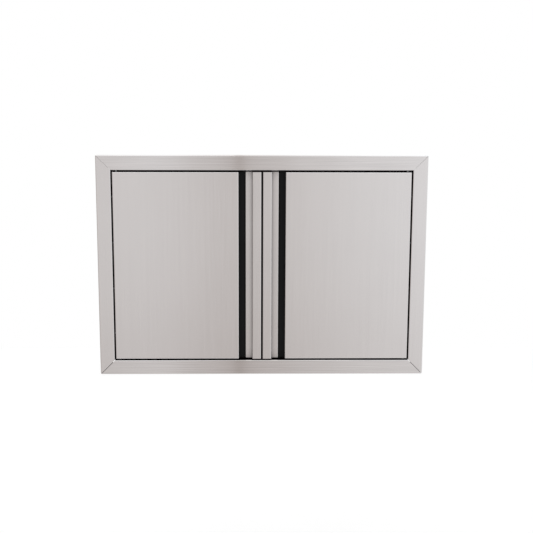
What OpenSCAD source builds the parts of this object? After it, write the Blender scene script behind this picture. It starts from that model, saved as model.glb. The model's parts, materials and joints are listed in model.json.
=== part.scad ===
// Built-in dry storage pantry: a sheet-steel box with a mitred face frame and two
// inset doors that swing on pivot pins and have full-height recessed finger pulls.
// Millimetres. X runs across the face, Y runs back into the island, Z is up.
// The plane Y = 0 is the face of the island. The origin is in the middle of the
// flange that seats the bottom rail against it.

/* [Face frame] */
// Width of the face frame over its outer edges
frame_w = 838.2; // [760:0.1:940]
// Height of the face frame over its outer edges
frame_h = 568.3; // [500:0.1:700]
// Width of the face of each rail and stile
face_w = 37.5; // [34:0.5:46]
// How far the frame stands out from the island
frame_d = 19; // [19:0.5:24]
// Thickness of the frame's sheet
frame_sheet = 1.2; // [1:0.1:1.5]
// Inside radius of every bend in the frame, doors and box
bend_r = 0.8; // [0.5:0.1:1]
// Width of the flange that seats on the island
seat_flange = 12; // [10:1:16]
// Distance from the island face back to the front of the stop flange
stop_y = 9; // [8:0.5:12]
// Width of the stop flange that the door seals close on
stop_w = 24; // [23:0.5:30]
// Gap between the mitred ends at the upper corners, square to the mitre
upper_mitre_gap = 0.4; // [0.2:0.1:1]
// Gap between the mitred ends at the lower corners, square to the mitre
lower_mitre_gap = 1.2; // [0.2:0.1:1.5]
// Radius of the frame's outer corners
corner_r = 2.5; // [1:0.1:3]
// Length of each leg of a corner brace
brace_leg = 88; // [60:1:110]
// Width of each leg of a corner brace
brace_w = 26; // [18:1:28]
// Thickness of a corner brace
brace_t = 2; // [1.5:0.1:3]

/* [Doors] */
// Thickness of a door
door_t = 19; // [18:0.1:19.3]
// Gap between a door and the stile beside it
side_gap = 3.5; // [3.4:0.1:5]
// Gap above the doors
top_gap = 4.5; // [3.5:0.1:6]
// Gap below the doors
bottom_gap = 4; // [3.6:0.1:5]
// Gap between the two doors
meeting_gap = 4; // [3.5:0.1:5]
// Thickness of the door skin and of the pull rail
door_sheet = 1.2; // [1:0.1:1.2]
// Thickness of the door's back panel
back_sheet = 0.8; // [0.6:0.1:1]
// Width of the skin's flange that the back panel is riveted to
rivet_flange = 9; // [8:0.5:9.5]

/* [Finger pulls] */
// Width of the pull rail's front face, beside the meeting edge
pull_face_w = 22.5; // [18:0.5:30]
// Width of the ledge behind the front face
ledge_w = 18; // [14:0.5:24]
// How deep the ledge lies below the front face
ledge_depth = 12.5; // [10:0.1:14]
// Width of the open slot between the ledge and the door skin
slot_w = 17.3; // [15:0.1:26]
// Depth of the rolled lip on the skin's pull edge
lip_depth = 4.2; // [4.2:0.1:5.5]
// How far the pocket runs on behind that lip
undercut = 11.5; // [8:0.5:18]
// Thickness of the pocket channel's sheet
pocket_sheet = 0.8; // [0.6:0.1:1]

/* [Pivots] */
// Distance from a door's outer edge in to its pivot
pivot_inset = 9.5; // [9.2:0.1:9.8]
// Diameter of the pivot pins
pin_d = 5; // [4:0.1:5.5]
// Radial clearance of a pin that turns or slides
run_fit = 0.05; // [0.03:0.01:0.08]
// Radial clearance of a piece that is pressed or riveted in
seat_fit = 0.02; // [0.01:0.01:0.05]
// Outside diameter of the bush barrels
bush_d = 8; // [7.5:0.1:8.5]
// Outside diameter of the bush flanges
bush_flange_d = 10.5; // [10:0.1:11]
// Thickness of the bush flanges
bush_flange_t = 1.5; // [1.2:0.1:1.8]
// Axial play between a door and the collar that carries it
pivot_play = 0.2; // [0.1:0.05:0.3]
// Thickness of the pivot brackets inside the doors
bracket_t = 2; // [1.5:0.1:2.5]
// Distance from the door's edge return in to the ends of the bracket legs
bracket_reach = 26; // [20:1:34]
// Height of the upper pivot bracket
bracket_h = 50; // [48:1:60]
// Travel that the upper pin needs to leave its bush
pin_travel = 10; // [9.5:0.1:11]
// Diameter of the rod that draws the upper pin down
lever_d = 3; // [2.5:0.1:3.5]
// How far that rod stands out behind the door
lever_out = 6; // [4:0.5:7]
// Wire diameter of the pin springs
spring_wire = 0.9; // [0.6:0.1:1]
// Number of turns in a pin spring
spring_turns = 8; // [6:1:10]

/* [Seals and catches] */
// Distance from a door's edge in to its seal
seal_inset = 10; // [9.8:0.1:12]
// Width of the door seals
seal_w = 8; // [6:0.5:9]
// Gap between a closed door's seal and the stop flange
seal_gap = 0.3; // [0.2:0.05:0.5]
// Gap between the two seals where the doors meet
meeting_seal_gap = 0.6; // [0.4:0.1:1]
// Width of a magnetic catch
catch_w = 42; // [36:1:60]
// Height of a magnetic catch below the stop flange
catch_h = 14; // [12:0.5:20]
// Depth of a magnetic catch
catch_d = 20; // [18:1:26]
// Distance from the meeting line to the middle of a catch
catch_x = 46; // [34:1:90]
// Gap between a catch's pole plates and the strike on a closed door
catch_gap = 0.3; // [0.2:0.05:0.5]

/* [Box] */
// Depth of the box behind the island face
box_d = 508; // [400:1:600]
// Thickness of the box's sheets
box_sheet = 1; // [0.8:0.1:1.2]
// Width of the box's seam flanges
seam_w = 15; // [12:1:20]
// How far the box's panels lap the frame ahead of the island face
lap = 3; // [2:0.5:3.5]
// Diameter of the side fixing holes
fixing_d = 5.2; // [4:0.1:6.5]
// Distance between the fixing holes along the box
fixing_y = 380; // [200:1:400]
// Distance between the fixing holes up the box
fixing_z = 320; // [200:1:400]
// Diameter of the blind rivets
rivet_d = 4; // [3.2:0.1:4.8]

/* [Shelf] */
// Height of the shelf's rests above the box floor
shelf_z = 244; // [190:1:300]
// Depth of the shelf from front to back
shelf_d = 440; // [340:1:450]
// Height of the shelf's folded edge
shelf_h = 20; // [15:1:30]
// Width of the lip turned in under the shelf's edge
shelf_lip = 12; // [10:1:16]
// Gap between the shelf and the standards at each side
shelf_gap = 1.8; // [1:0.1:3]
// Width of the slotted standards
standard_w = 16; // [14:1:20]
// How far the standards stand out from the box's side
standard_d = 4; // [3.5:0.1:6]
// Distance between two slots in a standard
slot_pitch = 25; // [20:1:40]
// Distance between a side's two standards, middle to middle
standard_span = 310; // [240:1:330]
// Length of the rest on a shelf clip
clip_reach = 14; // [12:0.5:20]
// Width of the hat-section stiffener under the shelf
stiffener_w = 64; // [56:1:90]

/* [Hidden] */

$fn = 48;
bend_steps = 5;      // flats that stand for one bend
over = 1;            // how far a cutter runs past what it cuts

// Colours
steel = "#c9c7c6";
inner_steel = "#b9b8b7";
dark_steel = "#26272a";
rubber = "#202124";
plastic = "#e4e4e0";
zinc = "#a9adb0";

// Heights and widths of the opening
frame_bottom = -seat_flange / 2;
frame_top = frame_bottom + frame_h;
frame_mid = frame_bottom + frame_h / 2;
front_y = -frame_d;
open_x = frame_w / 2 - face_w;
open_bottom = frame_bottom + face_w;
open_top = frame_top - face_w;
jamb_x = open_x + frame_sheet;
jamb_bottom = open_bottom - frame_sheet;
jamb_top = open_top + frame_sheet;

// A door, for the right-hand one
door_in = meeting_gap / 2;
door_out = open_x - side_gap;
door_bottom = open_bottom + bottom_gap;
door_top = open_top - top_gap;
door_h = door_top - door_bottom;
door_back_y = front_y + door_t;
panel_y = door_back_y - back_sheet;
outer_r = bend_r + door_sheet;
face_in = door_in + pull_face_w;
ledge_in = face_in + ledge_w;
slot_in = ledge_in + slot_w;
pocket_in = slot_in + undercut;
ledge_y = front_y + ledge_depth;
lip_y = front_y + lip_depth;
skin_y = front_y + door_sheet;

// Pivots
pivot_x = door_out - pivot_inset;
pivot_y = front_y + door_t / 2;
pin_r = pin_d / 2;
bracket_gap = 0.2;
bracket_x0 = door_out - door_sheet - bracket_reach;
bracket_y0 = skin_y + bend_r + bracket_gap;
bracket_y1 = panel_y - door_sheet - bend_r - bracket_gap;
bracket_top = door_top - door_sheet;
bracket_foot = bracket_top - bracket_h;
lower_bracket_z = door_bottom + door_sheet;
lower_bracket_h = 30;
bush_tail = 4;
pin_tip = 1;
upper_pin_top = jamb_top + bush_flange_t + pin_tip;
collar_t = 2;
collar_d = bush_d + 1;
collar_top = bracket_top - bracket_t - pivot_play;
lever_room = 1;       // round the lever in its slot
slot_margin = 1.5;    // between that slot and the seal above it
lever_z = door_top - seal_inset - seal_w - slot_margin - lever_room - lever_d / 2;
lever_x = bracket_x0 - 3;
spring_rest = 0.1;
spring_top = lever_z - lever_d / 2 - spring_rest;
spring_foot = bracket_foot + bracket_t;
spring_r = pin_r + spring_wire / 2 + 0.5;
pin_tail = 4;
pin_head_t = 2;
pin_head_r = pin_r + 1.5;
pin_collar_r = pin_r + 1.75;
pin_reach = 9;        // of the lower pin into the door
spring_sides = 6;
spring_per_turn = 8;  // rings of points in one turn of a pin spring
spring_rings = spring_turns * spring_per_turn;
spring_rise = spring_top - spring_foot - spring_wire;

// Seals, catches and rivets
seal_out = door_out - seal_inset;
seal_base = 2;
bulb_wall = 1.2;
strip_r = 4;          // radius of the strips where the doors meet
strip_end = 2;
seal_d = stop_y - seal_gap - door_back_y;
clear_top = open_top - stop_w;
catch_drop = 0.5;
catch_top = clear_top - catch_drop;
catch_r = 2;
strike_t = 1;
catch_y = door_back_y + strike_t + catch_gap;
pole_t = 1.2;
pole_proud = 0.3;
magnet_sunk = 1;
magnet_w = catch_w - 2 * 6;
magnet_h = 6;
magnet_d = catch_d - 8;
catch_tab = 12;
catch_tab_t = 2.5;
catch_screw_x = catch_w / 2 - 7;
catch_screw_r = 1.5;
catch_head_r = 2.8;
catch_head_t = 1.8;
screw_end = 0.5;
rivet_head = 1.2;
// Heads: shares of the head's own radius and height
dome_edge_share = 0.4;
dome_top_share = 0.6;
recess_arm_share = 0.62;
recess_w_share = 0.26;
recess_depth_share = 0.6;
rivet_inset = rivet_flange / 2;
door_rivet_r = 1.6;
door_rivet_head_r = 2.8;
door_rivet_head = 1;
door_rivet_tail = 1.5;
back_edge = 0.6;      // how far the back panel stops short of a door's edges
pocket_end = 0.5;
door_rivet_z = spread(door_bottom, door_top, 4);
door_rivet_x = spread(pocket_in, door_out, 3);

// Box
box_x = jamb_x + box_sheet;
box_front = -lap;
stop_back = stop_y + frame_sheet;
seam_gap = 2;
seam_front = stop_back + seam_gap;
back_pan_d = seam_w;
back_y = box_d - back_pan_d;
corner_relief = 1;
side_rivet_z = spread(jamb_bottom, jamb_top, 4);
top_rivet_x = spread(-jamb_x, jamb_x, 5);
lap_rivet_y = (box_front + stop_y) / 2;
back_rivet_y = (back_y + box_d) / 2;
fixing_mid_y = (seam_front + back_y) / 2;
fixing_mid_z = (open_bottom + open_top) / 2;

// Shelf
web_x = jamb_x - standard_d;
standard_end = 10;    // between a standard and the seam flange
standard_bottom = jamb_bottom + seam_w + standard_end;
standard_top = jamb_top - seam_w - standard_end;
standard_screw_r = 1.75;
standard_screw_z = [standard_bottom + 8, standard_top - 8];
screw_head_r = 3.2;
screw_head_t = 1.5;
standard_y = [fixing_mid_y - standard_span / 2, fixing_mid_y + standard_span / 2];
slot_w_y = standard_w - 7;
slot_h = 3;
shelf_x = web_x - shelf_gap;
rest_z = jamb_bottom + shelf_z;
shelf_y0 = fixing_mid_y - shelf_d / 2;
clip_t = 1.8;
clip_w = slot_w_y - 0.6;
clip_drop = 12;
hat_flange = 14;
hat_slope = 4;
hat_lift = 4;         // of the stiffener's foot above the rests
hat_end = 4;

// Evenly spaced places from low to high, with a margin at each end
function spread(low, high, count) =
    [for (k = [0:count - 1]) low + (high - low) * (0.14 + 0.72 * k / (count - 1))];

// Points along one face of a bent sheet. The path follows one face of the sheet,
// which lies on the left of travel. face is 0 for that face and 1 for the other.
function cross2(a, b) = a[0] * b[1] - a[1] * b[0];
function heading(a, b) = (b - a) / norm(b - a);
function left_of(d) = [-d[1], d[0]];
function reversed(v) = [for (i = [len(v) - 1:-1:0]) v[i]];
function bend(a, p, b, t, r, face) =
    let (
        d0 = heading(a, p),
        d1 = heading(p, b),
        turn = cross2(d0, d1) > 0 ? 1 : -1,
        angle = acos(d0 * d1),
        traced_r = turn > 0 ? r + t : r,
        middle = p - d0 * traced_r * tan(angle / 2) + left_of(d0) * turn * traced_r,
        radius = traced_r - face * turn * t,
        from = -turn * left_of(d0),
        a0 = atan2(from[1], from[0])
    )
    [for (i = [0:bend_steps])
        middle + radius * [cos(a0 + turn * angle * i / bend_steps),
                           sin(a0 + turn * angle * i / bend_steps)]];
function sheet_face(path, t, r, face) =
    let (
        n = len(path),
        first = left_of(heading(path[0], path[1])),
        last = left_of(heading(path[n - 2], path[n - 1]))
    )
    concat(
        [path[0] + first * t * face],
        [for (i = [1:n - 2]) each bend(path[i - 1], path[i], path[i + 1], t, r, face)],
        [path[n - 1] + last * t * face]
    );

// Outline of a sheet of thickness t folded along a path, with inside radius r
module folded(path, t, r = bend_r) {
    polygon(concat(sheet_face(path, t, r, 0), reversed(sheet_face(path, t, r, 1))));
}

// Outline of a rectangle with corners rounded by r
module rounded(low, high, r) {
    corners = [low, [high[0], low[1]], high, [low[0], high[1]]];
    polygon([for (i = [0:3])
        each bend(corners[(i + 3) % 4], corners[i], corners[(i + 1) % 4], 0, r, 0)]);
}

// A box from its low corner to its high corner
module block(low, high) {
    translate(low)
        cube(high - low);
}

// An outline in X and Y, run up from z0 to z1
module run_up(z0, z1) {
    translate([0, 0, z0])
        linear_extrude(z1 - z0)
            children();
}

// An outline in Y and Z, run across from x0 to x1
module run_across(x0, x1) {
    translate([x0, 0, 0])
        rotate([90, 0, 90])
            linear_extrude(x1 - x0)
                children();
}

// An outline in X and Z, run back from y0 to y1
module run_back(y0, y1) {
    translate([0, y1, 0])
        rotate([90, 0, 0])
            linear_extrude(y1 - y0)
                children();
}

// An upright rod, and rods that lie along X or along Y
module rod_up(x, y, z0, z1, r) {
    translate([x, y, z0])
        cylinder(h = z1 - z0, r = r);
}
module rod_across(x0, x1, y, z, r) {
    translate([x0, y, z])
        rotate([0, 90, 0])
            cylinder(h = x1 - x0, r = r);
}
module rod_back(x, y0, y1, z, r) {
    translate([x, y0, z])
        rotate([-90, 0, 0])
            cylinder(h = y1 - y0, r = r);
}

// The domed head of a rivet or screw, standing on Z = 0, and its cross recess
module dome(r, h) {
    edge = h * dome_edge_share;
    cylinder(h = edge, r = r);
    translate([0, 0, edge])
        cylinder(h = h - edge, r1 = r, r2 = r * dome_top_share);
}
module screw_head(r, h) {
    arm = r * recess_arm_share;
    arm_w = r * recess_w_share;
    depth = h * recess_depth_share;
    difference() {
        dome(r, h);
        for (turn = [0, 90])
            rotate([0, 0, turn])
                translate([-arm, -arm_w / 2, h - depth])
                    cube([2 * arm, arm_w, depth + over]);
    }
}

// Left-hand pieces are the right-hand ones in a mirror
module left() {
    mirror([1, 0, 0])
        children();
}

// Face frame
// One mitred length of the frame, lying along X with its outer edge at Z = 0, and
// the gaps that its two mitres leave
module frame_bar(length, low_gap, high_gap) {
    reach = face_w + stop_w + over;
    low = low_gap / sqrt(2) - length / 2;
    high = length / 2 - high_gap / sqrt(2);
    intersection() {
        run_across(-length / 2, length / 2)
            folded([[stop_y, face_w + stop_w], [stop_y, face_w], [front_y, face_w],
                    [front_y, 0], [0, 0], [0, seat_flange]], frame_sheet);
        run_back(front_y - over, stop_back + over)
            polygon([[low, 0], [high, 0], [high - reach, reach], [low + reach, reach]]);
        run_back(front_y - over, stop_back + over)
            rounded([-length / 2, 0], [length / 2, length / 2], corner_r);
    }
}

// A frame bar turned round the middle of the frame, from the bottom of it
module frame_side(turn, length, across, low_gap, high_gap) {
    translate([0, 0, frame_mid])
        rotate([0, turn, 0])
            translate([0, 0, -across / 2])
                frame_bar(length, low_gap, high_gap);
}

module frame_bottom_rail() {
    color(steel)
        difference() {
            frame_side(0, frame_w, frame_h, lower_mitre_gap, lower_mitre_gap);
            for (side = [-1, 1])
                rod_up(side * pivot_x, pivot_y, jamb_bottom - over, open_bottom + over, pin_r + seat_fit);
        }
}

module frame_top_rail() {
    color(steel)
        difference() {
            frame_side(180, frame_w, frame_h, upper_mitre_gap, upper_mitre_gap);
            for (side = [-1, 1])
                rod_up(side * pivot_x, pivot_y, open_top - over, jamb_top + over, bush_d / 2 + seat_fit);
            top_rivets(seat_fit);
            catch_screw_shanks(seat_fit);
        }
}

module frame_stile() {
    difference() {
        frame_side(-90, frame_h, frame_w, lower_mitre_gap, upper_mitre_gap);
        side_rivets(seat_fit);
    }
}
module frame_right_stile() {
    color(steel)
        frame_stile();
}
module frame_left_stile() {
    color(steel)
        left()
            frame_stile();
}

// L-shaped plates welded across the mitres, behind the face
module corner_brace() {
    edge = (face_w - brace_w) / 2;
    y0 = front_y + frame_sheet;
    x1 = frame_w / 2 - edge;
    z0 = frame_bottom + edge;
    block([x1 - brace_leg, y0, z0], [x1, y0 + brace_t, z0 + brace_w]);
    block([x1 - brace_w, y0, z0], [x1, y0 + brace_t, z0 + brace_leg]);
}
module frame_corner_braces() {
    color(zinc)
        for (side = [0, 1])
            mirror([side, 0, 0]) {
                corner_brace();
                translate([0, 0, 2 * frame_mid])
                    mirror([0, 0, 1])
                        corner_brace();
            }
}

// Blind rivets: a shank with grow 0 is the rivet's, and a larger one is its hole
module side_rivets(grow) {
    for (z = side_rivet_z)
        rod_across(open_x - rivet_head, box_x + rivet_head, lap_rivet_y, z, rivet_d / 2 + grow);
    for (z = [side_rivet_z[0], side_rivet_z[2], side_rivet_z[3]])
        rod_across(jamb_x - box_sheet - rivet_head, box_x + rivet_head, back_rivet_y, z, rivet_d / 2 + grow);
}
module top_rivets(grow) {
    for (x = top_rivet_x)
        rod_up(x, lap_rivet_y, open_top - rivet_head, jamb_top + box_sheet + rivet_head, rivet_d / 2 + grow);
    for (x = [top_rivet_x[1], top_rivet_x[2], top_rivet_x[3]])
        rod_up(x, back_rivet_y, jamb_top - box_sheet - rivet_head, jamb_top + box_sheet + rivet_head,
               rivet_d / 2 + grow);
}
module side_rivet_heads() {
    head_r = rivet_d * 0.8;
    tail_r = rivet_d * 0.65;
    for (z = side_rivet_z) {
        translate([box_x, lap_rivet_y, z])
            rotate([0, 90, 0])
                dome(head_r, rivet_head);
        rod_across(open_x - rivet_head, open_x, lap_rivet_y, z, tail_r);
    }
    for (z = [side_rivet_z[0], side_rivet_z[2], side_rivet_z[3]]) {
        translate([box_x, back_rivet_y, z])
            rotate([0, 90, 0])
                dome(head_r, rivet_head);
        rod_across(jamb_x - box_sheet - rivet_head, jamb_x - box_sheet, back_rivet_y, z, tail_r);
    }
}
module top_rivet_heads() {
    head_r = rivet_d * 0.8;
    tail_r = rivet_d * 0.65;
    for (x = top_rivet_x) {
        translate([x, lap_rivet_y, jamb_top + box_sheet])
            dome(head_r, rivet_head);
        rod_up(x, lap_rivet_y, open_top - rivet_head, open_top, tail_r);
    }
    for (x = [top_rivet_x[1], top_rivet_x[2], top_rivet_x[3]]) {
        translate([x, back_rivet_y, jamb_top + box_sheet])
            dome(head_r, rivet_head);
        rod_up(x, back_rivet_y, jamb_top - box_sheet - rivet_head, jamb_top - box_sheet, tail_r);
    }
}
module box_rivets() {
    color(zinc) {
        top_rivets(0);
        top_rivet_heads();
        for (side = [0, 1])
            mirror([side, 0, 0]) {
                side_rivets(0);
                side_rivet_heads();
            }
    }
}

// Box
// A side panel: a flat sheet that laps the stile, with seam flanges behind the stop
module box_side() {
    difference() {
        union() {
            block([jamb_x, box_front, jamb_bottom], [box_x, box_d, jamb_top]);
            run_back(seam_front, back_y - seam_gap)
                folded([[jamb_x - seam_w, jamb_bottom], [box_x, jamb_bottom],
                        [box_x, jamb_top], [jamb_x - seam_w, jamb_top]], box_sheet);
        }
        side_rivets(seat_fit);
        for (y = [-1, 1], z = [-1, 1])
            rod_across(jamb_x - over, box_x + over, fixing_mid_y + y * fixing_y / 2,
                       fixing_mid_z + z * fixing_z / 2, fixing_d / 2);
        for (y = standard_y)
            standard_screw_shanks(y, seat_fit);
    }
}
module box_right_side() {
    color(inner_steel)
        box_side();
}
module box_left_side() {
    color(inner_steel)
        left()
            box_side();
}
module box_top() {
    color(inner_steel)
        difference() {
            block([-box_x, box_front, jamb_top], [box_x, box_d, jamb_top + box_sheet]);
            top_rivets(seat_fit);
        }
}
module box_bottom() {
    color(inner_steel)
        block([-box_x, box_front, jamb_bottom - box_sheet], [box_x, box_d, jamb_bottom]);
}

// The back is a pan whose edges turn to the rear, inside the other panels. Its flat and its four
// turned edges are two nodes, and the edges stop short of each other at the corners
module box_back() {
    color(inner_steel)
        block([-jamb_x, back_y, jamb_bottom], [jamb_x, back_y + box_sheet, jamb_top]);
}
module box_back_edges() {
    t = box_sheet;
    color(inner_steel)
        difference() {
            union() {
                for (z = [jamb_bottom, jamb_top - t])
                    block([-jamb_x, back_y + t, z], [jamb_x, box_d, z + t]);
                for (x = [-jamb_x, jamb_x - t])
                    block([x, back_y + t, jamb_bottom + t + corner_relief],
                          [x + t, box_d, jamb_top - t - corner_relief]);
            }
            top_rivets(seat_fit);
            side_rivets(seat_fit);
            left()
                side_rivets(seat_fit);
        }
}

// Shelf standards: channels with a row of slots, screwed to the side panels
module shelf_standard(y) {
    difference() {
        run_up(standard_bottom, standard_top)
            folded([[jamb_x, y + standard_w / 2], [web_x, y + standard_w / 2],
                    [web_x, y - standard_w / 2], [jamb_x, y - standard_w / 2]], box_sheet);
        for (z = [rest_z - 8 * slot_pitch:slot_pitch:standard_top - slot_pitch / 2])
            if (z > standard_bottom + slot_pitch / 2)
                block([web_x - over, y - slot_w_y / 2, z - clip_t - slot_h / 2],
                      [web_x + box_sheet + over, y + slot_w_y / 2, z - clip_t + slot_h / 2]);
        standard_screw_shanks(y, seat_fit);
    }
}
module standards() {
    for (y = standard_y)
        shelf_standard(y);
}
module right_shelf_standards() {
    color(zinc)
        standards();
}
module left_shelf_standards() {
    color(zinc)
        left()
            standards();
}
module standard_screw_shanks(y, grow) {
    for (z = standard_screw_z)
        rod_across(web_x - over, box_x + 2, y, z, standard_screw_r + grow);
}
module standard_screws() {
    color(zinc)
        for (side = [0, 1])
            mirror([side, 0, 0])
                for (y = standard_y) {
                    standard_screw_shanks(y, 0);
                    for (z = standard_screw_z)
                        translate([web_x, y, z])
                            rotate([0, -90, 0])
                                screw_head(screw_head_r, screw_head_t);
                }
}

// A clip hooks into a slot and carries the shelf's turned-in lip
module shelf_clip(y) {
    half = clip_w / 2;
    block([web_x - clip_reach, y - half, rest_z - clip_t], [web_x, y + half, rest_z]);
    block([web_x - clip_t, y - half, rest_z - clip_drop], [web_x, y + half, rest_z]);
    block([web_x - clip_t, y - half, rest_z - clip_t - clip_t / 2],
          [web_x + standard_d - 0.6, y + half, rest_z - clip_t / 2]);
}
module shelf_clips() {
    color(zinc)
        for (side = [0, 1])
            mirror([side, 0, 0])
                for (y = standard_y)
                    shelf_clip(y);
}

module shelf_panel() {
    t = box_sheet;
    y1 = shelf_y0 + shelf_d;
    z1 = rest_z + shelf_h;
    color(inner_steel)
        difference() {
            intersection() {
                run_across(-shelf_x, shelf_x)
                    rounded([shelf_y0, rest_z], [y1, z1], bend_r + t);
                run_back(shelf_y0 - over, y1 + over)
                    rounded([-shelf_x, rest_z], [shelf_x, z1], bend_r + t);
            }
            block([t - shelf_x, shelf_y0 + t, rest_z + t], [shelf_x - t, y1 - t, z1 - t]);
            block([shelf_lip - shelf_x, shelf_y0 + shelf_lip, rest_z - over],
                  [shelf_x - shelf_lip, y1 - shelf_lip, rest_z + t + over]);
        }
}

// A hat section along the middle of the shelf's underside
module shelf_stiffener() {
    t = box_sheet;
    y = shelf_y0 + shelf_d / 2;
    z0 = rest_z + hat_lift;
    z1 = rest_z + shelf_h - t;
    rim = stiffener_w / 2;
    wall = rim - hat_flange;
    foot = wall - hat_slope;
    end = shelf_x - shelf_lip - hat_end;
    color(inner_steel)
        run_across(-end, end)
            folded([[y + rim, z1], [y + wall, z1], [y + foot, z0], [y - foot, z0],
                    [y - wall, z1], [y - rim, z1]], t);
}

// Magnetic catches, on the back of the top rail's stop flange
module catch_body() {
    z0 = catch_top - catch_h;
    x0 = catch_x - catch_w / 2;
    x1 = catch_x + catch_w / 2;
    y1 = catch_y + catch_d;
    slot_z = catch_top - catch_h / 2;
    half_h = magnet_h / 2 + pole_t;
    difference() {
        union() {
            run_back(catch_y + pole_proud, y1)
                rounded([x0, z0], [x1, catch_top], catch_r);
            block([x0, stop_back, slot_z], [x1, stop_back + catch_tab_t, clear_top + catch_tab]);
        }
        block([catch_x - magnet_w / 2 - seat_fit, catch_y - over, slot_z - half_h - seat_fit],
              [catch_x + magnet_w / 2 + seat_fit, catch_y + magnet_d + seat_fit, slot_z + half_h + seat_fit]);
        catch_screw_shanks(seat_fit);
    }
}
module right_catch_body() {
    color(plastic)
        catch_body();
}
module left_catch_body() {
    color(plastic)
        left()
            catch_body();
}
module catch_magnets() {
    z = catch_top - catch_h / 2;
    color(dark_steel)
        for (side = [0, 1])
            mirror([side, 0, 0])
                block([catch_x - magnet_w / 2, catch_y + magnet_sunk, z - magnet_h / 2],
                      [catch_x + magnet_w / 2, catch_y + magnet_d, z + magnet_h / 2]);
}
module catch_pole_plates() {
    z = catch_top - catch_h / 2;
    color(zinc)
        for (side = [0, 1])
            mirror([side, 0, 0])
                for (foot = [z - magnet_h / 2 - pole_t, z + magnet_h / 2])
                    block([catch_x - magnet_w / 2, catch_y, foot],
                          [catch_x + magnet_w / 2, catch_y + magnet_d, foot + pole_t]);
}
module catch_screw_shanks(grow) {
    for (side = [-1, 1], end = [-1, 1])
        rod_back(side * catch_x + end * catch_screw_x, stop_y, stop_back + catch_tab_t + screw_end,
                 clear_top + catch_tab / 2, catch_screw_r + grow);
}
module catch_screws() {
    y0 = stop_back + catch_tab_t;
    color(zinc) {
        catch_screw_shanks(0);
        for (side = [-1, 1], end = [-1, 1])
            translate([side * catch_x + end * catch_screw_x, y0, clear_top + catch_tab / 2])
                rotate([-90, 0, 0])
                    screw_head(catch_head_r, catch_head_t);
    }
}

// Fixed pivots
module lower_pivot_pin() {
    collar = bottom_gap - bush_flange_t - pivot_play;
    rod_up(pivot_x, pivot_y, jamb_bottom - pin_head_t, jamb_bottom, pin_head_r);
    rod_up(pivot_x, pivot_y, jamb_bottom - over, door_bottom + pin_reach, pin_r);
    rod_up(pivot_x, pivot_y, open_bottom, open_bottom + collar, pin_collar_r);
    translate([pivot_x, pivot_y, door_bottom + pin_reach])
        cylinder(h = pin_tip, r1 = pin_r, r2 = pin_r - pin_tip);
}
module right_lower_pivot_pin() {
    color(zinc)
        lower_pivot_pin();
}
module left_lower_pivot_pin() {
    color(zinc)
        left()
            lower_pivot_pin();
}
module upper_bush() {
    difference() {
        union() {
            rod_up(pivot_x, pivot_y, open_top, jamb_top + over, bush_d / 2);
            rod_up(pivot_x, pivot_y, jamb_top, jamb_top + bush_flange_t, bush_flange_d / 2);
        }
        rod_up(pivot_x, pivot_y, open_top - over, jamb_top + bush_flange_t + over, pin_r + run_fit);
    }
}
module right_upper_bush() {
    color(plastic)
        upper_bush();
}
module left_upper_bush() {
    color(plastic)
        left()
            upper_bush();
}

// Doors, drawn for the right-hand side
// The skin: a pan with a rolled lip on its pull edge and a flange for the back panel
module door_skin() {
    t = door_sheet;
    difference() {
        union() {
            difference() {
                intersection() {
                    run_up(door_bottom, door_top)
                        rounded([slot_in, front_y], [door_out, panel_y], outer_r);
                    run_across(pocket_in, door_out)
                        rounded([front_y, door_bottom], [panel_y, door_top], outer_r);
                }
                intersection() {
                    run_up(door_bottom, door_top)
                        rounded([slot_in + t, skin_y], [door_out - t, panel_y - t], bend_r);
                    run_across(pocket_in - over, door_out)
                        rounded([skin_y, door_bottom + t], [panel_y - t, door_top - t], bend_r);
                }
                block([pocket_in - over, pivot_y, door_bottom + rivet_flange],
                      [door_out - rivet_flange, panel_y + over, door_top - rivet_flange]);
            }
            intersection() {
                run_up(door_bottom, door_top)
                    folded([[pocket_in, lip_y], [slot_in, lip_y], [slot_in, front_y],
                            [pocket_in + over, front_y]], t);
                run_across(slot_in - over, pocket_in + over)
                    rounded([front_y, door_bottom], [panel_y, door_top], outer_r);
            }
        }
        rod_up(pivot_x, pivot_y, door_top - t - over, door_top + over, pin_r + 1);
        rod_up(pivot_x, pivot_y, door_bottom - over, door_bottom + t + over, bush_d / 2 + seat_fit);
        door_rivet_shanks(seat_fit);
    }
}

// The pull rail: meeting edge, front face, step and ledge in one folded sheet
module pull_rail() {
    t = door_sheet;
    difference() {
        run_up(door_bottom, door_top)
            folded([[door_in + rivet_flange, panel_y], [door_in, panel_y], [door_in, front_y],
                    [face_in, front_y], [face_in, ledge_y], [ledge_in, ledge_y],
                    [ledge_in, panel_y - 0.1]], t);
        door_rivet_shanks(seat_fit);
    }
    for (z = [door_bottom, door_top - t])
        block([door_in + t / 2, skin_y - t / 2, z], [face_in - t / 2, panel_y - t / 2, z + t]);
}

// The dark channel that lines the finger slot and runs on behind the lip
module pull_pocket() {
    run_up(door_bottom + pocket_end, door_top - pocket_end)
        folded([[pocket_in, lip_y], [pocket_in, panel_y], [ledge_in, panel_y], [ledge_in, ledge_y + 1]],
               pocket_sheet);
}
module door_back() {
    low = [door_in + back_edge, panel_y, door_bottom + back_edge];
    high = [door_out - back_edge, door_back_y, door_top - back_edge];
    slot_r = lever_d / 2 + lever_room;
    difference() {
        block(low, high);
        door_rivet_shanks(seat_fit);
        run_back(panel_y - over, door_back_y + over)
            rounded([lever_x - slot_r, lever_z - pin_travel - slot_r], [lever_x + slot_r, lever_z + slot_r],
                    slot_r - lever_room / 2);
    }
}
module door_rivet_spots() {
    for (z = door_rivet_z)
        translate([door_out - rivet_inset, 0, z])
            children();
    for (x = door_rivet_x, z = [door_bottom + rivet_inset, door_top - rivet_inset])
        translate([x, 0, z])
            children();
    for (z = door_rivet_z)
        translate([door_in + rivet_inset, 0, z])
            children();
}
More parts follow.
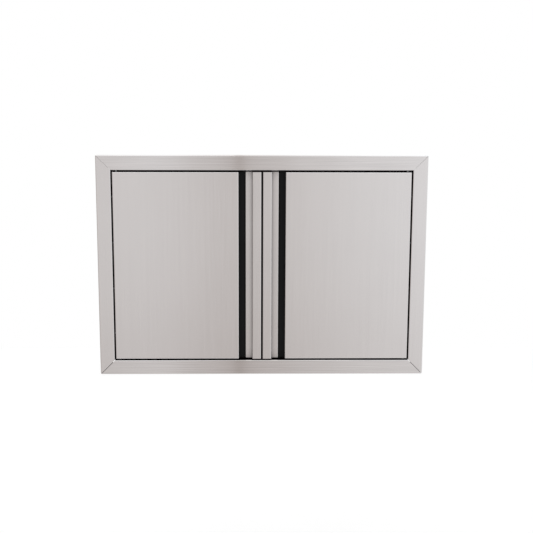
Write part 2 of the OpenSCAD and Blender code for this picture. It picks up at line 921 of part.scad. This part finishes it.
module door_rivet_shanks(grow) {
    door_rivet_spots()
        rod_back(0, panel_y - door_sheet - door_rivet_tail, door_back_y + screw_end, 0, door_rivet_r + grow);
}
module door_rivets() {
    door_rivet_shanks(0);
    door_rivet_spots()
        translate([0, door_back_y, 0])
            rotate([-90, 0, 0])
                dome(door_rivet_head_r, door_rivet_head);
}

// Brackets inside the door that carry its pivots
module upper_pivot_bracket() {
    x1 = door_out - door_sheet;
    difference() {
        run_back(bracket_y0, bracket_y1)
            folded([[bracket_x0, bracket_foot], [x1, bracket_foot], [x1, bracket_top],
                    [bracket_x0, bracket_top]], bracket_t);
        rod_up(pivot_x, pivot_y, bracket_foot - over, bracket_top + over, pin_r + run_fit);
    }
}
module lower_pivot_bracket() {
    x1 = door_out - door_sheet;
    z = lower_bracket_z;
    difference() {
        run_back(bracket_y0, bracket_y1)
            folded([[bracket_x0, z], [x1, z], [x1, z + lower_bracket_h]], bracket_t);
        rod_up(pivot_x, pivot_y, z - over, z + bracket_t + over, bush_d / 2 + seat_fit);
    }
}
module lower_bush() {
    difference() {
        union() {
            rod_up(pivot_x, pivot_y, door_bottom - bush_flange_t, door_bottom, bush_flange_d / 2);
            rod_up(pivot_x, pivot_y, door_bottom - over, lower_bracket_z + bracket_t + bush_tail, bush_d / 2);
        }
        rod_up(pivot_x, pivot_y, door_bottom - bush_flange_t - over,
               lower_bracket_z + bracket_t + bush_tail + over, pin_r + run_fit);
    }
}

// The upper pin: a rod with a collar and a bent lever that draws it down
module upper_pivot_pin() {
    rod_up(pivot_x, pivot_y, bracket_foot - pin_tail, upper_pin_top - pin_tip, pin_r);
    translate([pivot_x, pivot_y, upper_pin_top - pin_tip])
        cylinder(h = pin_tip, r1 = pin_r, r2 = pin_r - pin_tip);
    rod_up(pivot_x, pivot_y, collar_top - collar_t, collar_top, collar_d / 2);
    rod_across(lever_x, pivot_x, pivot_y, lever_z, lever_d / 2);
    translate([lever_x, pivot_y, lever_z])
        sphere(r = lever_d / 2);
    rod_back(lever_x, pivot_y, door_back_y + lever_out, lever_z, lever_d / 2);
}

// A coil of round wire about the upper pin. A place on it is ring i's point at the
// radius r from the pin's axis, and lift above the middle of the wire.
function spring_place(i, r = spring_r, lift = 0) =
    [r * cos(360 * i / spring_per_turn), r * sin(360 * i / spring_per_turn),
     spring_rise * i / spring_rings + lift];
spring_least_gap = min([
    for (i = [0:spring_rings - spring_per_turn / 2], j = [i + spring_per_turn / 2:spring_rings])
        norm(spring_place(i) - spring_place(j))
]) - spring_wire;
echo(spring_least_gap = spring_least_gap);
module pin_spring() {
    sides = spring_sides;
    rings = spring_rings;
    ring = [for (i = [0:rings], j = [0:sides - 1])
        let (b = 360 * j / sides)
        spring_place(i, spring_r + spring_wire / 2 * cos(b), spring_wire / 2 * sin(b))];
    walls = [for (i = [0:rings - 1], j = [0:sides - 1])
        let (
            a = i * sides + j,
            b = i * sides + (j + 1) % sides
        )
        each [[a, a + sides, b + sides], [a, b + sides, b]]];
    ends = [
        [for (j = [0:sides - 1]) j],
        [for (j = [sides - 1:-1:0]) rings * sides + j]
    ];
    translate([pivot_x, pivot_y, spring_foot + spring_wire / 2])
        polyhedron(points = ring, faces = concat(walls, ends), convexity = 10);
}

// Seal round the hinge edge, top and bottom of a door, against the stop flange
module seal_outline() {
    bulb_r = (seal_w - 1) / 2;
    square([seal_w, seal_base]);
    difference() {
        translate([seal_w / 2, seal_d - bulb_r])
            circle(r = bulb_r);
        translate([seal_w / 2, seal_d - bulb_r])
            circle(r = bulb_r - bulb_wall);
    }
}
module seal_leg(length) {
    intersection() {
        run_across(-length / 2, length / 2)
            mirror([1, -1, 0])
                seal_outline();
        run_back(-over, seal_d + over)
            polygon([[-length / 2, 0], [length / 2, 0], [length / 2 - seal_w, seal_w],
                     [-length / 2, seal_w]]);
    }
}
module door_seal() {
    x0 = door_in + over;
    top_length = seal_out - x0;
    side_length = door_h - 2 * seal_inset;
    mid_z = (door_bottom + door_top) / 2;
    translate([(x0 + seal_out) / 2, door_back_y, door_bottom + seal_inset])
        seal_leg(top_length);
    translate([(x0 + seal_out) / 2, door_back_y, door_top - seal_inset])
        mirror([0, 0, 1])
            seal_leg(top_length);
    translate([seal_out, door_back_y, mid_z])
        rotate([0, -90, 0])
            intersection() {
                seal_leg(side_length);
                mirror([1, 0, 0])
                    seal_leg(side_length);
            }
}

// A half-round strip on the meeting edge
module meeting_seal() {
    nose = meeting_seal_gap / 2;
    run_up(door_bottom + strip_end, door_top - strip_end)
        intersection() {
            translate([nose + strip_r, pivot_y])
                circle(r = strip_r);
            translate([0, pivot_y - strip_r])
                square([door_in, 2 * strip_r]);
        }
}
module strike_plate() {
    run_back(door_back_y, door_back_y + strike_t)
        rounded([catch_x - catch_w / 2, catch_top - catch_h], [catch_x + catch_w / 2, catch_top], catch_r);
}

module right_door_skin() {
    color(steel)
        door_skin();
}
module left_door_skin() {
    color(steel)
        left()
            door_skin();
}
module right_pull_rail() {
    color(steel)
        pull_rail();
}
module left_pull_rail() {
    color(steel)
        left()
            pull_rail();
}
module right_pull_pocket() {
    color(dark_steel)
        pull_pocket();
}
module left_pull_pocket() {
    color(dark_steel)
        left()
            pull_pocket();
}
module right_door_back() {
    color(inner_steel)
        door_back();
}
module left_door_back() {
    color(inner_steel)
        left()
            door_back();
}
module right_door_seal() {
    color(rubber)
        door_seal();
}
module left_door_seal() {
    color(rubber)
        left()
            door_seal();
}
module right_meeting_seal() {
    color(rubber)
        meeting_seal();
}
module left_meeting_seal() {
    color(rubber)
        left()
            meeting_seal();
}
module right_strike_plate() {
    color(zinc)
        strike_plate();
}
module left_strike_plate() {
    color(zinc)
        left()
            strike_plate();
}
module right_upper_pivot_bracket() {
    color(zinc)
        upper_pivot_bracket();
}
module left_upper_pivot_bracket() {
    color(zinc)
        left()
            upper_pivot_bracket();
}
module right_lower_pivot_bracket() {
    color(zinc)
        lower_pivot_bracket();
}
module left_lower_pivot_bracket() {
    color(zinc)
        left()
            lower_pivot_bracket();
}
module right_lower_bush() {
    color(plastic)
        lower_bush();
}
module left_lower_bush() {
    color(plastic)
        left()
            lower_bush();
}
module right_door_rivets() {
    color(zinc)
        door_rivets();
}
module left_door_rivets() {
    color(zinc)
        left()
            door_rivets();
}
module right_upper_pivot_pin() {
    color(zinc)
        upper_pivot_pin();
}
module left_upper_pivot_pin() {
    color(zinc)
        left()
            upper_pivot_pin();
}
module right_pin_spring() {
    color(zinc)
        pin_spring();
}
module left_pin_spring() {
    color(zinc)
        left()
            pin_spring();
}

frame_top_rail();
frame_bottom_rail();
frame_left_stile();
frame_right_stile();
frame_corner_braces();
box_left_side();
box_right_side();
box_top();
box_bottom();
box_back();
box_back_edges();
box_rivets();
left_shelf_standards();
right_shelf_standards();
standard_screws();
shelf_clips();
left_catch_body();
right_catch_body();
catch_magnets();
catch_pole_plates();
catch_screws();
left_lower_pivot_pin();
right_lower_pivot_pin();
left_upper_bush();
right_upper_bush();
left_door_skin();
left_pull_rail();
left_pull_pocket();
left_door_back();
left_door_seal();
left_meeting_seal();
left_strike_plate();
left_upper_pivot_bracket();
left_lower_pivot_bracket();
left_lower_bush();
left_door_rivets();
left_upper_pivot_pin();
left_pin_spring();
right_door_skin();
right_pull_rail();
right_pull_pocket();
right_door_back();
right_door_seal();
right_meeting_seal();
right_strike_plate();
right_upper_pivot_bracket();
right_lower_pivot_bracket();
right_lower_bush();
right_door_rivets();
right_upper_pivot_pin();
right_pin_spring();
shelf_panel();
shelf_stiffener();
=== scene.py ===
import json
import math

import bpy
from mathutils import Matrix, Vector


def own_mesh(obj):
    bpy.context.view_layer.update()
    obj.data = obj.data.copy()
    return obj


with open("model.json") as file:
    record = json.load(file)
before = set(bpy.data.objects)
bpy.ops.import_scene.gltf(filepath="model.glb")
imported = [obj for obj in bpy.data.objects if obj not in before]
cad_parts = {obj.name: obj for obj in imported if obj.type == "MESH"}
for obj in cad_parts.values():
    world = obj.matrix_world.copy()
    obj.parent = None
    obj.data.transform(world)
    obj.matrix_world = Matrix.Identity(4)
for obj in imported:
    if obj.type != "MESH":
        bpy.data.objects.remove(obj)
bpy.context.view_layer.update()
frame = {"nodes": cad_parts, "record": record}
nodes = frame["nodes"]

# The photograph's camera, worked out from the edges of the frame, the doors and the slots
CAMERA_PLACE = (-0.0378, -2.5408, 0.7332)
CAMERA_TILT = math.radians(79.796)
CAMERA_ROLL = math.radians(-0.182)
CAMERA_TURN = math.radians(-1.084)
LENS = 67.62
SENSOR = 36.0

# The metals' reflectance at normal incidence, and the colours of the rest
FACE_STEEL = (0.63, 0.604, 0.601)
BOX_STEEL = (0.54, 0.525, 0.515)
ZINC = (0.56, 0.58, 0.60)
# The pull pockets' near-black colour paints the shade of their deep recess
POCKET_SHADE_BLACK = (0.006, 0.006, 0.0065)
RUBBER = (0.022, 0.022, 0.024)
NYLON = (0.8, 0.8, 0.775)
FERRITE = (0.07, 0.07, 0.075)
FLOOR_GREY = (0.8, 0.8, 0.8)

# Brushed steel: noise cells to a metre, across and along the grain, in hairs, streaks and soft clouds
HAIR_ACROSS = 1400.0
HAIR_ALONG = 9.0
STREAK_ACROSS = 230.0
STREAK_ALONG = 1.6
STEEL_CLOUDS = (5.0, 5.0, 5.0)
CLOUD_TONES = (0.985, 1.01)
# How far a hair or a streak darkens and lightens the steel, at a contrast of 1
HAIR_DARKER = 0.035
HAIR_LIGHTER = 0.025
STREAK_DARKER = 0.015
STREAK_LIGHTER = 0.01
# Turns of the gloss that lay it across grain along X; the tangent goes round Z
ACROSS_X_GRAIN = 0.25

# Zinc plate: spangles and grains to a metre, their tones, the gloss, and a grain's height in metres
ZINC_SPANGLES = 420.0
ZINC_SPANGLE_REACH = (0.0, 0.8)
ZINC_SPANGLE_TONES = (1.04, 0.9)
ZINC_GRAINS = (900.0, 900.0, 900.0)
ZINC_GRAIN_TONES = (0.95, 1.03)
ZINC_ROUGH = (0.28, 0.42)
ZINC_DEPTH = 0.00002

# Painted shade in narrow gaps and corners: how dark the colour gets there, and how far away the light may be
# held off, in metres
STEEL_SHADE_REACH = 0.03
STEEL_SHADE_DARKEST = 0.01
OTHER_SHADE_DARKEST = 0.02
OCCLUSION_SAMPLES = 8

# Soft mottling of coats, rubbers and plastics: patches to a metre, and their tones
PATCHES = (40.0, 40.0, 40.0)
PATCH_TONES = (0.97, 1.03)

# The ground: its place in metres, its surface, and how much it glows to the camera and in reflections
FLOOR_Z = -1.0
FLOOR_HALF = 4.0
FLOOR_FRONT = -1.6
FLOOR_PATCHES = (6.0, 6.0, 6.0)
FLOOR_TONES = (0.99, 1.01)
FLOOR_ROUGH = 0.9
FLOOR_GLOW = 0.3

# The studio's brightness as metal sees it, from left to right and from bottom to top
STUDIO_ACROSS = [
    (0.0, 0.7), (0.34, 0.75), (0.42, 0.93), (0.455, 1.0), (0.482, 0.86), (0.492, 0.79), (0.4965, 0.62),
    (0.501, 0.81), (0.515, 0.85), (0.53, 0.93), (0.56, 1.02), (0.60, 1.1), (0.8, 1.15), (1.0, 1.15),
]
STUDIO_UPWARD = [
    (0.0, 0.8), (0.2, 0.8), (0.3, 0.85), (0.34, 0.9), (0.365, 0.885), (0.40, 0.96), (0.43, 1.0),
    (0.5, 0.99), (0.6, 1.15), (1.0, 1.15),
]
STUDIO_SCALE = 2.0
STUDIO_DIFFUSE = 0.85
# Dimmer parts of the studio are warmer: the powers by which green and blue follow its brightness
STUDIO_WARMTH = {"Green": 0.15, "Blue": 0.25}

# The lamp overhead
KEY_PLACE = (-0.4, -0.5, 3.0)
KEY_TARGET = (0, 0.1, 0.3)
KEY_SIZE = 2.0
KEY_WATTS = 12.0


def new_material(name):
    material = bpy.data.materials.new(name)
    material.use_nodes = True
    tree = material.node_tree
    shader = tree.nodes["Principled BSDF"]
    return material, tree, shader


def node(tree, kind, **values):
    """A node whose settings are given by name: attributes first, then input sockets."""
    made = tree.nodes.new(kind)
    for name, value in values.items():
        if hasattr(made, name):
            setattr(made, name, value)
        else:
            made.inputs[name.replace("_", " ")].default_value = value
    return made


def stretched_noise(tree, stretch, detail=3.0, roughness=0.55):
    """Noise whose cells are 1/stretch metres long along X, Y and Z."""
    coords = node(tree, "ShaderNodeTexCoord")
    mapping = node(tree, "ShaderNodeMapping", Scale=stretch)
    noise = node(tree, "ShaderNodeTexNoise", Scale=1.0, Detail=detail, Roughness=roughness)
    tree.links.new(coords.outputs["Object"], mapping.inputs["Vector"])
    tree.links.new(mapping.outputs["Vector"], noise.inputs["Vector"])
    return noise.outputs["Fac"]


def ranged(tree, value, low, high, source=(0.25, 0.75), smooth="LINEAR"):
    """A value spread from its source range to low and high."""
    made = node(tree, "ShaderNodeMapRange", interpolation_type=smooth, From_Min=source[0],
                From_Max=source[1], To_Min=low, To_Max=high)
    tree.links.new(value, made.inputs["Value"])
    return made.outputs["Result"]


def tinted(tree, colour, *factors):
    """A colour multiplied by one or more grey factors."""
    result = None
    for factor in factors:
        mix = node(tree, "ShaderNodeMix", data_type="RGBA", blend_type="MULTIPLY")
        mix.inputs["Factor"].default_value = 1.0
        if result is None:
            mix.inputs["A"].default_value = (*colour, 1.0)
        else:
            tree.links.new(result, mix.inputs["A"])
        tree.links.new(factor, mix.inputs["B"])
        result = mix.outputs["Result"]
    return result


def painted_gap_shade(tree, reach, darkest, low=0.15, high=0.95):
    """A factor for the colour that paints shade: it falls to darkest in narrow gaps and deep corners, where
    little light gets in.
    """
    hidden = node(tree, "ShaderNodeAmbientOcclusion", samples=OCCLUSION_SAMPLES, Distance=reach)
    return ranged(tree, hidden.outputs["AO"], darkest, 1.0, (low, high), "SMOOTHSTEP")


def bumped(tree, shader, height, distance):
    bump = node(tree, "ShaderNodeBump", Strength=1.0, Distance=distance)
    tree.links.new(height, bump.inputs["Height"])
    tree.links.new(bump.outputs["Normal"], shader.inputs["Normal"])


def brushed(name, colour, grain, rough, spread, depth, metallic=1.0, high=0.7, contrast=1.0, stretch=0.3):
    """Brushed steel with its grain along X or Z.

    Contrast is how much the grain shows, and stretch how much more the gloss spreads across it. Its colour
    holds painted shade in gaps and corners, and the higher high is, the further that shade spreads.
    """
    material, tree, shader = new_material(name)
    fine = [HAIR_ACROSS] * 3
    wide = [STREAK_ACROSS] * 3
    axis = "XYZ".index(grain)
    fine[axis] = HAIR_ALONG
    wide[axis] = STREAK_ALONG
    hair = stretched_noise(tree, fine, detail=4.0)
    streak = stretched_noise(tree, wide)
    cloud = stretched_noise(tree, STEEL_CLOUDS, detail=2.0)
    shade = tinted(tree, colour,
                   ranged(tree, hair, 1 - HAIR_DARKER * contrast, 1 + HAIR_LIGHTER * contrast),
                   ranged(tree, streak, 1 - STREAK_DARKER * contrast, 1 + STREAK_LIGHTER * contrast),
                   ranged(tree, cloud, *CLOUD_TONES),
                   # painted shade: the steel's colour darkens in gaps and corners
                   painted_gap_shade(tree, STEEL_SHADE_REACH, STEEL_SHADE_DARKEST, high=high))
    tree.links.new(shade, shader.inputs["Base Color"])
    tree.links.new(ranged(tree, hair, rough - spread, rough + spread), shader.inputs["Roughness"])
    shader.inputs["Metallic"].default_value = metallic
    shader.inputs["Anisotropic"].default_value = stretch
    shader.inputs["Anisotropic Rotation"].default_value = ACROSS_X_GRAIN if grain == "X" else 0.0
    tangent = node(tree, "ShaderNodeTangent", direction_type="RADIAL", axis="Z")
    tree.links.new(tangent.outputs["Tangent"], shader.inputs["Tangent"])
    bumped(tree, shader, hair, depth)
    return material


def zinc_plate(name, reach, low):
    """Zinc-plated steel with faint spangles, and painted shade in its colour in gaps and corners, set by
    reach and low.
    """
    material, tree, shader = new_material(name)
    coords = node(tree, "ShaderNodeTexCoord")
    spangles = node(tree, "ShaderNodeTexVoronoi", Scale=ZINC_SPANGLES)
    tree.links.new(coords.outputs["Object"], spangles.inputs["Vector"])
    grains = stretched_noise(tree, ZINC_GRAINS)
    shade = tinted(tree, ZINC,
                   ranged(tree, spangles.outputs["Distance"], *ZINC_SPANGLE_TONES, ZINC_SPANGLE_REACH),
                   ranged(tree, grains, *ZINC_GRAIN_TONES), painted_gap_shade(tree, reach, OTHER_SHADE_DARKEST, low))
    tree.links.new(shade, shader.inputs["Base Color"])
    tree.links.new(ranged(tree, grains, *ZINC_ROUGH), shader.inputs["Roughness"])
    shader.inputs["Metallic"].default_value = 1.0
    bumped(tree, shader, grains, ZINC_DEPTH)
    return material


def plain(name, colour, rough, spread, grain_size, depth, tint=0.06, specular=0.5, reach=0.01):
    """A coating, rubber or plastic: a fine even texture in its colour, gloss and height, with painted shade
    in its colour in gaps and corners as far as reach.
    """
    material, tree, shader = new_material(name)
    grains = stretched_noise(tree, (1.0 / grain_size,) * 3, detail=4.0)
    patches = stretched_noise(tree, PATCHES)
    shade = tinted(tree, colour, ranged(tree, grains, 1 - tint, 1 + tint),
                   ranged(tree, patches, *PATCH_TONES), painted_gap_shade(tree, reach, OTHER_SHADE_DARKEST))
    tree.links.new(shade, shader.inputs["Base Color"])
    tree.links.new(ranged(tree, grains, rough - spread, rough + spread), shader.inputs["Roughness"])
    shader.inputs["Specular IOR Level"].default_value = specular
    bumped(tree, shader, grains, depth)
    return material


# The rails are smoother than the doors and stiles, and show more of their grain
# Both face steels spread their painted shade in gaps and corners further out than the box steel does
face = {
    "X": brushed("face_steel_x", FACE_STEEL, "X", rough=0.07, spread=0.01, depth=0.000003,
                 high=0.95, contrast=3.0, stretch=0.9),
    "Z": brushed("face_steel_z", FACE_STEEL, "Z", rough=0.14, spread=0.02, depth=0.000003,
                 high=0.95, contrast=0.8),
}
box = {
    grain: brushed(f"box_steel_{grain.lower()}", BOX_STEEL, grain, rough=0.36, spread=0.04, depth=0.00001,
                   metallic=0.8)
    for grain in "XZ"
}
# Three zincs that differ only in painted shade: that of the upper pins reaches further than the plain zinc's,
# and that of the lower pins and braces is darker as well
zinc = zinc_plate("zinc_plate", reach=0.003, low=0.15)
wider_shade_zinc = zinc_plate("wider_shade_zinc_plate", reach=0.006, low=0.15)
deep_shade_zinc = zinc_plate("deep_shade_zinc_plate", reach=0.006, low=0.5)
# The near-black of the pull pockets is painted shade for their deep recess
pocket_shade_coat = plain("pocket_shade_black_coat", POCKET_SHADE_BLACK, rough=0.5, spread=0.06, grain_size=0.0006, depth=0.00003,
             specular=0.12)
rubber = plain("seal_rubber", RUBBER, rough=0.7, spread=0.08, grain_size=0.0005, depth=0.00005,
               tint=0.12, specular=0.35)
# The bushes at the doors' feet get deeper painted shade in their colour than the other nylon pieces
nylon_grain = {"rough": 0.42, "spread": 0.06, "grain_size": 0.001, "depth": 0.00002, "tint": 0.02}
nylon = plain("nylon", NYLON, reach=0.003, **nylon_grain)
deep_shade_nylon = plain("deep_shade_nylon", NYLON, reach=0.04, **nylon_grain)
ferrite = plain("ferrite", FERRITE, rough=0.6, spread=0.08, grain_size=0.0004, depth=0.00004, tint=0.15)

FINISH = {
    "frame_top_rail": face["X"], "frame_bottom_rail": face["X"],
    "frame_left_stile": face["Z"], "frame_right_stile": face["Z"],
    "box_left_side": box["Z"], "box_right_side": box["Z"], "box_back": box["Z"], "box_back_edges": box["Z"],
    "box_top": box["X"], "box_bottom": box["X"],
    "shelf_panel": box["X"], "shelf_stiffener": box["X"],
    "catch_magnets": ferrite,
}
BY_ENDING = {
    "door_skin": face["Z"], "pull_rail": face["Z"], "pull_pocket": pocket_shade_coat, "door_back": box["Z"],
    "door_seal": rubber, "meeting_seal": rubber, "catch_body": nylon, "upper_bush": nylon,
    "lower_bush": deep_shade_nylon, "lower_pivot_pin": deep_shade_zinc, "upper_pivot_pin": wider_shade_zinc,
    "corner_braces": deep_shade_zinc,
}


def finish_of(name):
    if name in FINISH:
        return FINISH[name]
    for ending, material in BY_ENDING.items():
        if name.endswith(ending):
            return material
    return zinc


for name, cad_node in nodes.items():
    for slot in cad_node.material_slots:
        slot.material = finish_of(name)


def short_springs():
    """Gives each pin spring that a joint deforms a mesh of its own, for it to get shorter with its pin, from
    its foot up.
    """
    for joint in frame["record"]["behaviour"]["joints"]:
        for row in joint.get("deforming_nodes", []):
            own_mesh(nodes[row["node"]])


def either(tree, *values):
    """1 where any of the values, each 0 or 1, is 1."""
    result = values[0]
    for value in values[1:]:
        both = node(tree, "ShaderNodeMath", operation="ADD", use_clamp=True)
        tree.links.new(result, both.inputs[0])
        tree.links.new(value, both.inputs[1])
        result = both.outputs["Value"]
    return result


def white_ground():
    """A wide pale floor, far enough below the part for the picture to stay white."""
    mesh = bpy.data.meshes.new("floor")
    mesh.from_pydata([(-FLOOR_HALF, FLOOR_FRONT, FLOOR_Z), (FLOOR_HALF, FLOOR_FRONT, FLOOR_Z),
                      (FLOOR_HALF, FLOOR_HALF, FLOOR_Z), (-FLOOR_HALF, FLOOR_HALF, FLOOR_Z)],
                     [], [(0, 1, 2, 3)])
    floor = bpy.data.objects.new("floor", mesh)
    bpy.context.scene.collection.objects.link(floor)
    material, tree, shader = new_material("pale_floor")
    patches = stretched_noise(tree, FLOOR_PATCHES)
    tree.links.new(tinted(tree, FLOOR_GREY, ranged(tree, patches, *FLOOR_TONES)), shader.inputs["Base Color"])
    shader.inputs["Roughness"].default_value = FLOOR_ROUGH
    path = node(tree, "ShaderNodeLightPath")
    seen = either(tree, path.outputs["Is Camera Ray"], path.outputs["Is Glossy Ray"],
                  path.outputs["Is Transmission Ray"])
    glow = node(tree, "ShaderNodeMath", operation="MULTIPLY")
    tree.links.new(seen, glow.inputs[0])
    glow.inputs[1].default_value = FLOOR_GLOW
    shader.inputs["Emission Color"].default_value = (1, 1, 1, 1)
    tree.links.new(glow.outputs["Value"], shader.inputs["Emission Strength"])
    mesh.materials.append(material)


def ramp(tree, value, stops):
    """A smooth curve of brightness over a value from 0 to 1."""
    made = node(tree, "ShaderNodeValToRGB")
    made.color_ramp.interpolation = "EASE"
    elements = made.color_ramp.elements
    while len(elements) < len(stops):
        elements.new(0.5)
    for element, (place, level) in zip(elements, stops):
        share = level / STUDIO_SCALE
        element.position = place
        element.color = (share, share, share, 1.0)
    tree.links.new(value, made.inputs["Fac"])
    grown = node(tree, "ShaderNodeMath", operation="MULTIPLY")
    grown.inputs[1].default_value = STUDIO_SCALE
    tree.links.new(made.outputs["Color"], grown.inputs[0])
    return grown.outputs["Value"]


def studio():
    """White to the camera. To metal, a pale studio that is darker in front of the part and below it."""
    world = bpy.data.worlds.new("studio")
    bpy.context.scene.world = world
    world.use_nodes = True
    tree = world.node_tree
    background = tree.nodes["Background"]
    coords = node(tree, "ShaderNodeTexCoord")
    split = node(tree, "ShaderNodeSeparateXYZ")
    tree.links.new(coords.outputs["Generated"], split.inputs["Vector"])

    def along(output, stops):
        return ramp(tree, ranged(tree, split.outputs[output], 0.0, 1.0, (-1.0, 1.0)), stops)

    room = node(tree, "ShaderNodeMath", operation="MULTIPLY")
    tree.links.new(along("X", STUDIO_ACROSS), room.inputs[0])
    tree.links.new(along("Z", STUDIO_UPWARD), room.inputs[1])
    path = node(tree, "ShaderNodeLightPath")
    pick = node(tree, "ShaderNodeMix", data_type="FLOAT")
    pick.inputs["A"].default_value = STUDIO_DIFFUSE
    tree.links.new(path.outputs["Is Glossy Ray"], pick.inputs["Factor"])
    tree.links.new(room.outputs["Value"], pick.inputs["B"])
    level = node(tree, "ShaderNodeMix", data_type="FLOAT")
    tree.links.new(either(tree, path.outputs["Is Camera Ray"], path.outputs["Is Transmission Ray"]),
                   level.inputs["Factor"])
    tree.links.new(pick.outputs["Result"], level.inputs["A"])
    level.inputs["B"].default_value = 1.0
    tree.links.new(level.outputs["Result"], background.inputs["Strength"])
    shade = node(tree, "ShaderNodeCombineColor", Red=1.0)
    for channel, power in STUDIO_WARMTH.items():
        warmer = node(tree, "ShaderNodeMath", operation="POWER")
        warmer.inputs[1].default_value = power
        tree.links.new(room.outputs["Value"], warmer.inputs[0])
        tree.links.new(warmer.outputs["Value"], shade.inputs[channel])
    hue = node(tree, "ShaderNodeMix", data_type="RGBA")
    hue.inputs["A"].default_value = (1, 1, 1, 1)
    tree.links.new(path.outputs["Is Glossy Ray"], hue.inputs["Factor"])
    tree.links.new(shade.outputs["Color"], hue.inputs["B"])
    tree.links.new(hue.outputs["Result"], background.inputs["Color"])


def softbox(name, place, target, size, watts):
    lamp = bpy.data.lights.new(name, "AREA")
    lamp.shape = "SQUARE"
    lamp.size = size
    lamp.energy = watts
    made = bpy.data.objects.new(name, lamp)
    made.location = place
    made.rotation_euler = (Vector(target) - Vector(place)).to_track_quat("-Z", "Y").to_euler()
    bpy.context.scene.collection.objects.link(made)


def camera():
    data = bpy.data.cameras.new("camera")
    data.lens = LENS
    data.sensor_width = SENSOR
    made = bpy.data.objects.new("camera", data)
    made.location = CAMERA_PLACE
    made.rotation_euler = (CAMERA_TILT, CAMERA_ROLL, CAMERA_TURN)
    bpy.context.scene.collection.objects.link(made)
    bpy.context.scene.camera = made


short_springs()
white_ground()
studio()
softbox("key", KEY_PLACE, KEY_TARGET, KEY_SIZE, KEY_WATTS)
camera()
bpy.context.scene.view_settings.view_transform = "Standard"
